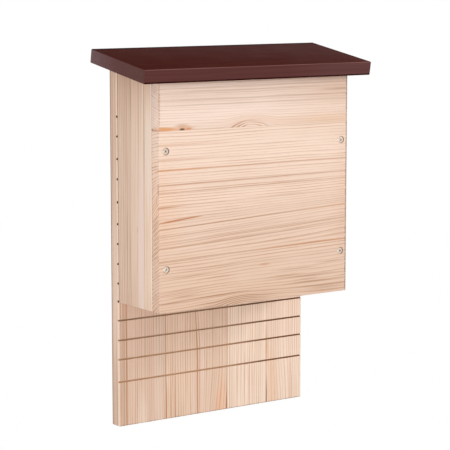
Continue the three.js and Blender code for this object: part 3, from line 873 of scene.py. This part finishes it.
# Two knots of the back board and one of the right side board, all clear of the screws and plates
BACK_KNOTS = [(100, 291, 6), (214, 203, 4)]
RIGHT_KNOTS = [(24, 158, 5)]
RIGHT_STAVES = [
    (26, (190, 120), (3.8, 0.45, 10), "#F4DAC4", "#CFA687"),
    (68, (-160, 90), (4.0, 0.45, 11), "#F0D3BA", "#CA9F7E"),
]
BAFFLE_STAVES = [
    (70, (-220, 100), (3.2, 0.7, 12), "#F1D4BC", "#C49672"),
    (160, (380, 120), (3.0, 0.7, 13), "#EECFB6", "#C1906A"),
    (230, (20, 90), (3.6, 0.7, 14), "#F4D8C2", "#C9A07F"),
]

KERF = sawn_kerf()
PRESSED = pressed_wood()
ARRIS = arris_highlight()
# The front screws' zinc is tinted warm: a painted reflection of the wood round them
WOOD_REFLECTING_ZINC = bright_zinc("bright_zinc_plating_with_painted_wood_reflection", ("#D6C6B8", "#EADDD0"))
ZINC = bright_zinc("bright_zinc_plating", ("#AEB0B3", "#C9CBCC"))
SHEET = galvanised_sheet()
BOARDS = {
    "front_board": planed_fir(
        "planed_fir_front",
        "front_board",
        along=X,
        across=Z,
        staves=FRONT_STAVES,
        leans=FRONT_LEANS,
        tones=FRONT_TONES,
        marks=FRONT_MARKS + REAR_BEADS + END_STROKES,
        bends=FRONT_BENDS,
        slants=FRONT_SLANTS,
    ),
    "back_board": planed_fir(
        "planed_fir_back",
        "back_board",
        along=Z,
        across=X,
        staves=BACK_STAVES,
        tones=BACK_TONES,
        marks=BACK_MARKS + NOTCH_SHADE,
        bends=BACK_BENDS,
        knots=BACK_KNOTS,
    ),
    "side_board_left": planed_fir(
        "planed_fir_left",
        "side_board_left",
        along=Z,
        across=Y,
        staves=LEFT_STAVES,
        tones=LEFT_TONES,
        marks=LEFT_MARKS,
    ),
    "side_board_right": planed_fir(
        "planed_fir_right", "side_board_right", along=Z, across=Y, staves=RIGHT_STAVES, knots=RIGHT_KNOTS
    ),
    "baffle_board": planed_fir(
        "planed_fir_baffle", "baffle_board", along=Z, across=X, staves=BAFFLE_STAVES
    ),
    "roof_board": roof_stain(),
}


def sharp_edges(mesh):
    """The edges where two faces meet at more than a slight angle."""
    limit = math.radians(SHARP_DEGREES)
    return [e for e in mesh.edges if len(e.link_faces) == 2 and e.calc_face_angle(0) > limit]


def merged_copy(node):
    """A CAD node's mesh with its vertices merged and its flat faces joined."""
    mesh = bmesh.new()
    mesh.from_mesh(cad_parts[node].data)
    bmesh.ops.remove_doubles(mesh, verts=mesh.verts, dist=MERGE_DISTANCE)
    bmesh.ops.dissolve_limit(
        mesh, angle_limit=math.radians(FLAT_DEGREES), verts=mesh.verts, edges=mesh.edges
    )
    return mesh


def ease_edges(mesh, offset):
    """Rounds the sharp edges a little, as sanding or stamping does."""
    bmesh.ops.bevel(
        mesh,
        geom=sharp_edges(mesh),
        offset=offset,
        offset_type="OFFSET",
        segments=EASE_SEGMENTS,
        profile=0.5,
        affect="EDGES",
        clamp_overlap=True,
        material=-1,
    )


def mesh_data(mesh, name):
    """A finished bmesh as mesh data."""
    data = bpy.data.meshes.new(name)
    mesh.to_mesh(data)
    mesh.free()
    return data


def as_object(name, data):
    """An object in the scene, at the origin."""
    thing = bpy.data.objects.new(name, data)
    bpy.context.scene.collection.objects.link(thing)
    return thing


def stand_in(mesh, node, materials):
    """The finished piece for a CAD node."""
    bmesh.ops.dissolve_degenerate(mesh, dist=MERGE_DISTANCE, edges=mesh.edges)
    data = mesh_data(mesh, f"dressed_{node}")
    for material in materials:
        data.materials.append(material)
    data.shade_smooth()
    data.set_sharp_from_angle(angle=math.radians(SHARP_DEGREES))
    piece = as_object(f"dressed_{node}", data)
    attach(piece, "root")
    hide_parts(node)


CONE_REACH = 4.2 * MM
CONE_SLOPES = (0.1, 0.9)  # the Y of its wall's normal lies between these
FRONT_SCREWS = [sum(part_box(n), Vector()) / 2 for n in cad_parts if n.startswith("front_screw")]
ARRIS_AREA = 0.0004  # square metres: the roof's other sloping faces are larger
ARRIS_SLOPE = 0.3  # its normal leans up, and to the front, by more than this


def in_kerf(face, low, high):
    """Whether a face lies inside a saw kerf: level or upright, and just below the board's face."""
    centre = face.calc_center_median()
    depth = min(centre.y - low.y, high.y - centre.y)
    upright_or_level = max(abs(face.normal.y), abs(face.normal.z)) > SQUARE_ON
    return upright_or_level and KERF_SKIN < depth < KERF_REACH


def in_countersink(face, low, high):
    """Whether a face is part of the cone round a front screw's head."""
    least, most = CONE_SLOPES
    if not least < abs(face.normal.y) < most:
        return False
    centre = face.calc_center_median()
    return any((centre - screw).xz.length < CONE_REACH for screw in FRONT_SCREWS)


def on_front_arris(face, low, high):
    """Whether a face is the narrow one that eases the board's upper front edge."""
    leans_up_and_forwards = min(face.normal.z, -face.normal.y) > ARRIS_SLOPE
    return leans_up_and_forwards and face.calc_area() < ARRIS_AREA


# The faces of a board that have another finish than its faces do
SPECIAL_FACES = {
    "back_board": (in_kerf, KERF),
    "baffle_board": (in_kerf, KERF),
    "front_board": (in_countersink, PRESSED),
    "roof_board": (on_front_arris, ARRIS),
}


def make_boards():
    """Each board is its CAD node with its edges eased."""
    for node, material in BOARDS.items():
        mesh = merged_copy(node)
        materials = [material]
        if node in SPECIAL_FACES:
            is_special, finish = SPECIAL_FACES[node]
            materials.append(finish)
            low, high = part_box(node)
            for face in mesh.faces:
                if is_special(face, low, high):
                    face.material_index = 1
        ease_edges(mesh, WOOD_EASE)
        stand_in(mesh, node, materials)


def turned_mesh(profile):
    """A closed round mesh about the Y axis from (radius, y) points that start and end on it."""
    mesh = bmesh.new()
    points = [mesh.verts.new((radius, y, 0)) for radius, y in profile]
    edges = [mesh.edges.new(pair) for pair in zip(points, points[1:])]
    bmesh.ops.spin(
        mesh,
        geom=points + edges,
        cent=(0, 0, 0),
        axis=(0, 1, 0),
        angle=math.tau,
        steps=ROUND_STEPS,
        use_merge=True,
    )
    bmesh.ops.remove_doubles(mesh, verts=mesh.verts, dist=MERGE_DISTANCE)
    bmesh.ops.recalc_face_normals(mesh, faces=mesh.faces)
    return mesh


def recess_arm(reach, quarter):
    """One arm pair of a cross recess: a bar whose sides slope in towards its floor."""
    mesh = bmesh.new()
    bmesh.ops.create_cube(mesh, size=1)
    for vertex in mesh.verts:
        deep = vertex.co.y > 0
        share = RECESS_TAPER if deep else 1
        vertex.co.x *= 2 * reach * share
        vertex.co.z *= RECESS_WIDTH * share
        vertex.co.y = RECESS_DEPTH if deep else -RECESS_DEPTH
    bmesh.ops.rotate(mesh, verts=mesh.verts, matrix=Matrix.Rotation(quarter, 3, "Y"))
    bmesh.ops.recalc_face_normals(mesh, faces=mesh.faces)
    return mesh


def thread(start, end, radius, root, pitch):
    """The ridge of a wood screw's thread, as a closed helical strip."""
    mesh = bmesh.new()
    half = THREAD_FOOT_SHARE * pitch
    sunk = root * THREAD_SUNK_SHARE
    corners = [(sunk, start - half), (radius, start), (sunk, start + half)]
    points = [mesh.verts.new((r, y, 0)) for r, y in corners]
    face = mesh.faces.new(points)
    turns = (end - start) / pitch
    steps = int(turns * THREAD_STEPS)
    bmesh.ops.spin(
        mesh,
        geom=[face] + list(face.edges) + points,
        cent=(0, 0, 0),
        axis=(0, 1, 0),
        dvec=(0, (end - start) / steps, 0),
        angle=math.tau * turns,
        steps=steps,
    )
    bmesh.ops.recalc_face_normals(mesh, faces=mesh.faces)
    return mesh


def cut_mesh(body, cutters):
    """The body's mesh with each cutter taken out of it."""
    blank = as_object("blank", mesh_data(body, "blank"))
    tools = [as_object("cutter", mesh_data(cutter, "cutter")) for cutter in cutters]
    for tool in tools:
        taken = blank.modifiers.new("recess", "BOOLEAN")
        taken.operation = "DIFFERENCE"
        taken.solver = "EXACT"
        taken.object = tool
    graph = bpy.context.evaluated_depsgraph_get()
    result = bmesh.new()
    result.from_object(blank, graph)
    for thing in [blank, *tools]:
        bpy.data.objects.remove(thing)
    return result


def wood_screw(length, head, shank, point):
    """A countersunk wood screw along Y: head's face at y 0, a thread on its lower part."""
    root = shank * SCREW_ROOT_SHARE
    neck = head - shank
    thread_start = length * THREAD_START_SHARE
    profile = [
        (0, 0),
        (head - RIM_HEIGHT, 0),
        (head, RIM_HEIGHT),
        (head - RIM_HEIGHT / 2, 2 * RIM_HEIGHT),
        (shank, neck + RIM_HEIGHT),
        (shank, thread_start),
        (root, thread_start + neck / 2),
        (root, length - point),
        (0, length),
    ]
    reach = head * RECESS_REACH_SHARE
    body = cut_mesh(turned_mesh(profile), [recess_arm(reach, 0), recess_arm(reach, math.pi / 2)])
    ridge = thread(thread_start + neck, length - point, shank, root, shank * THREAD_PITCH_SHARE)
    body.from_mesh(mesh_data(ridge, "thread"))
    return mesh_data(body, "wood_screw")


def make_screws():
    """Each screw stands where its CAD node is, at a turn of its own, as a driver leaves it."""
    shapes = {}
    for order, node in enumerate(sorted(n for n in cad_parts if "screw" in n)):
        low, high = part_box(node)
        kind = "hanger" if node.startswith("hanger") else "board"
        if kind not in shapes:
            shapes[kind] = wood_screw(high.y - low.y, (high.x - low.x) / 2, *SHANK_AND_POINT[kind])
        forwards = node.startswith("front")
        face_y = low.y if forwards else high.y
        turn = Matrix.Rotation(0 if forwards else math.pi, 4, "Z")
        driven = Matrix.Rotation(order * DRIVER_TURN, 4, "Y")
        place = Matrix.Translation(((low.x + high.x) / 2, face_y, (low.z + high.z) / 2))
        mesh = bmesh.new()
        mesh.from_mesh(shapes[kind])
        bmesh.ops.transform(mesh, matrix=place @ turn @ driven, verts=mesh.verts)
        stand_in(mesh, node, [WOOD_REFLECTING_ZINC if forwards else ZINC])


def make_plates():
    """The two hanger plates, with their stamped edges eased."""
    for side in ("left", "right"):
        node = f"hanger_plate_{side}"
        mesh = merged_copy(node)
        ease_edges(mesh, STEEL_EASE)
        stand_in(mesh, node, [SHEET])


def plate_brads():
    """The roof's brads keep their CAD shape, which lies hidden in the wood, and get their zinc."""
    for name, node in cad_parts.items():
        if "brad" in name:
            node.data.materials.clear()
            node.data.materials.append(ZINC)


def seen_share(tree):
    """1 for a camera, glossy or transmission ray, and 0 for the rest."""
    path = add(tree, "ShaderNodeLightPath")
    share = path["Is Camera Ray"]
    for ray in ("Is Glossy Ray", "Is Transmission Ray"):
        share = maths(tree, "MAXIMUM", share, path[ray])
    return share


def aim(thing, target, azimuth, elevation, distance):
    """Stands a camera or lamp off its target and turns it there.

    Azimuth 0 is straight in front of the box, and 90 is on its right.
    """
    turn, lift = math.radians(azimuth), math.radians(elevation)
    back = Vector((math.sin(turn) * math.cos(lift), -math.cos(turn) * math.cos(lift), math.sin(lift)))
    thing.location = target + back * distance
    thing.rotation_mode = "QUATERNION"
    thing.rotation_quaternion = (-back).to_track_quat("-Z", "Y")


def make_floor():
    """A pale floor that the camera sees nearly as white as the studio's walls."""
    mesh = bmesh.new()
    bmesh.ops.create_grid(mesh, x_segments=1, y_segments=1, size=FLOOR_REACH)
    bmesh.ops.translate(mesh, verts=mesh.verts, vec=(0, 0, FLOOR_HEIGHT))
    floor = as_object("floor", mesh_data(mesh, "floor"))
    material, tree, shader = new_material("pale_studio_floor")
    shader.inputs["Base Color"].default_value = linear(FLOOR_COLOUR)
    shader.inputs["Roughness"].default_value = 0.9
    glow = add(tree, "ShaderNodeEmission", {"Strength": FLOOR_GLOW})[0]
    seen = seen_share(tree)
    dimmed = add(tree, "ShaderNodeMixShader", {0: 1 - FLOOR_LIT_SHARE, 1: shader.outputs[0]})[0]
    both = add(tree, "ShaderNodeAddShader", {0: dimmed, 1: glow})[0]
    mixed = add(tree, "ShaderNodeMixShader", {0: seen, 1: shader.outputs[0], 2: both})[0]
    tree.links.new(mixed, tree.nodes["Material Output"].inputs["Surface"])
    floor.data.materials.append(material)


def make_studio():
    """White all round, softer as a light than it looks, and the lamps."""
    world = bpy.data.worlds.new("white_studio")
    bpy.context.scene.world = world
    world.use_nodes = True
    tree = world.node_tree
    level = remap(tree, seen_share(tree), {3: AMBIENT, 4: 1})
    tree.links.new(level, tree.nodes["Background"].inputs["Strength"])
    tree.nodes["Background"].inputs["Color"].default_value = (1, 1, 1, 1)
    for name, (azimuth, elevation, distance, width, power) in LAMPS.items():
        lamp = bpy.data.lights.new(name, "AREA")
        lamp.shape = "SQUARE"
        lamp.size = width
        lamp.energy = power
        thing = as_object(name, lamp)
        aim(thing, LAMP_TARGET, azimuth, elevation, distance)
        thing.visible_camera = False


def make_camera():
    """The camera, where the photograph's was."""
    camera = bpy.data.cameras.new("camera")
    camera.lens = LENS
    camera.sensor_width = SENSOR
    thing = as_object("camera", camera)
    aim(thing, VIEW_TARGET, VIEW_AZIMUTH, VIEW_ELEVATION, VIEW_DISTANCE)
    bpy.context.scene.camera = thing


make_camera()
make_floor()
make_studio()
make_boards()
make_screws()
make_plates()
plate_brads()
bpy.context.scene.view_settings.view_transform = "Standard"
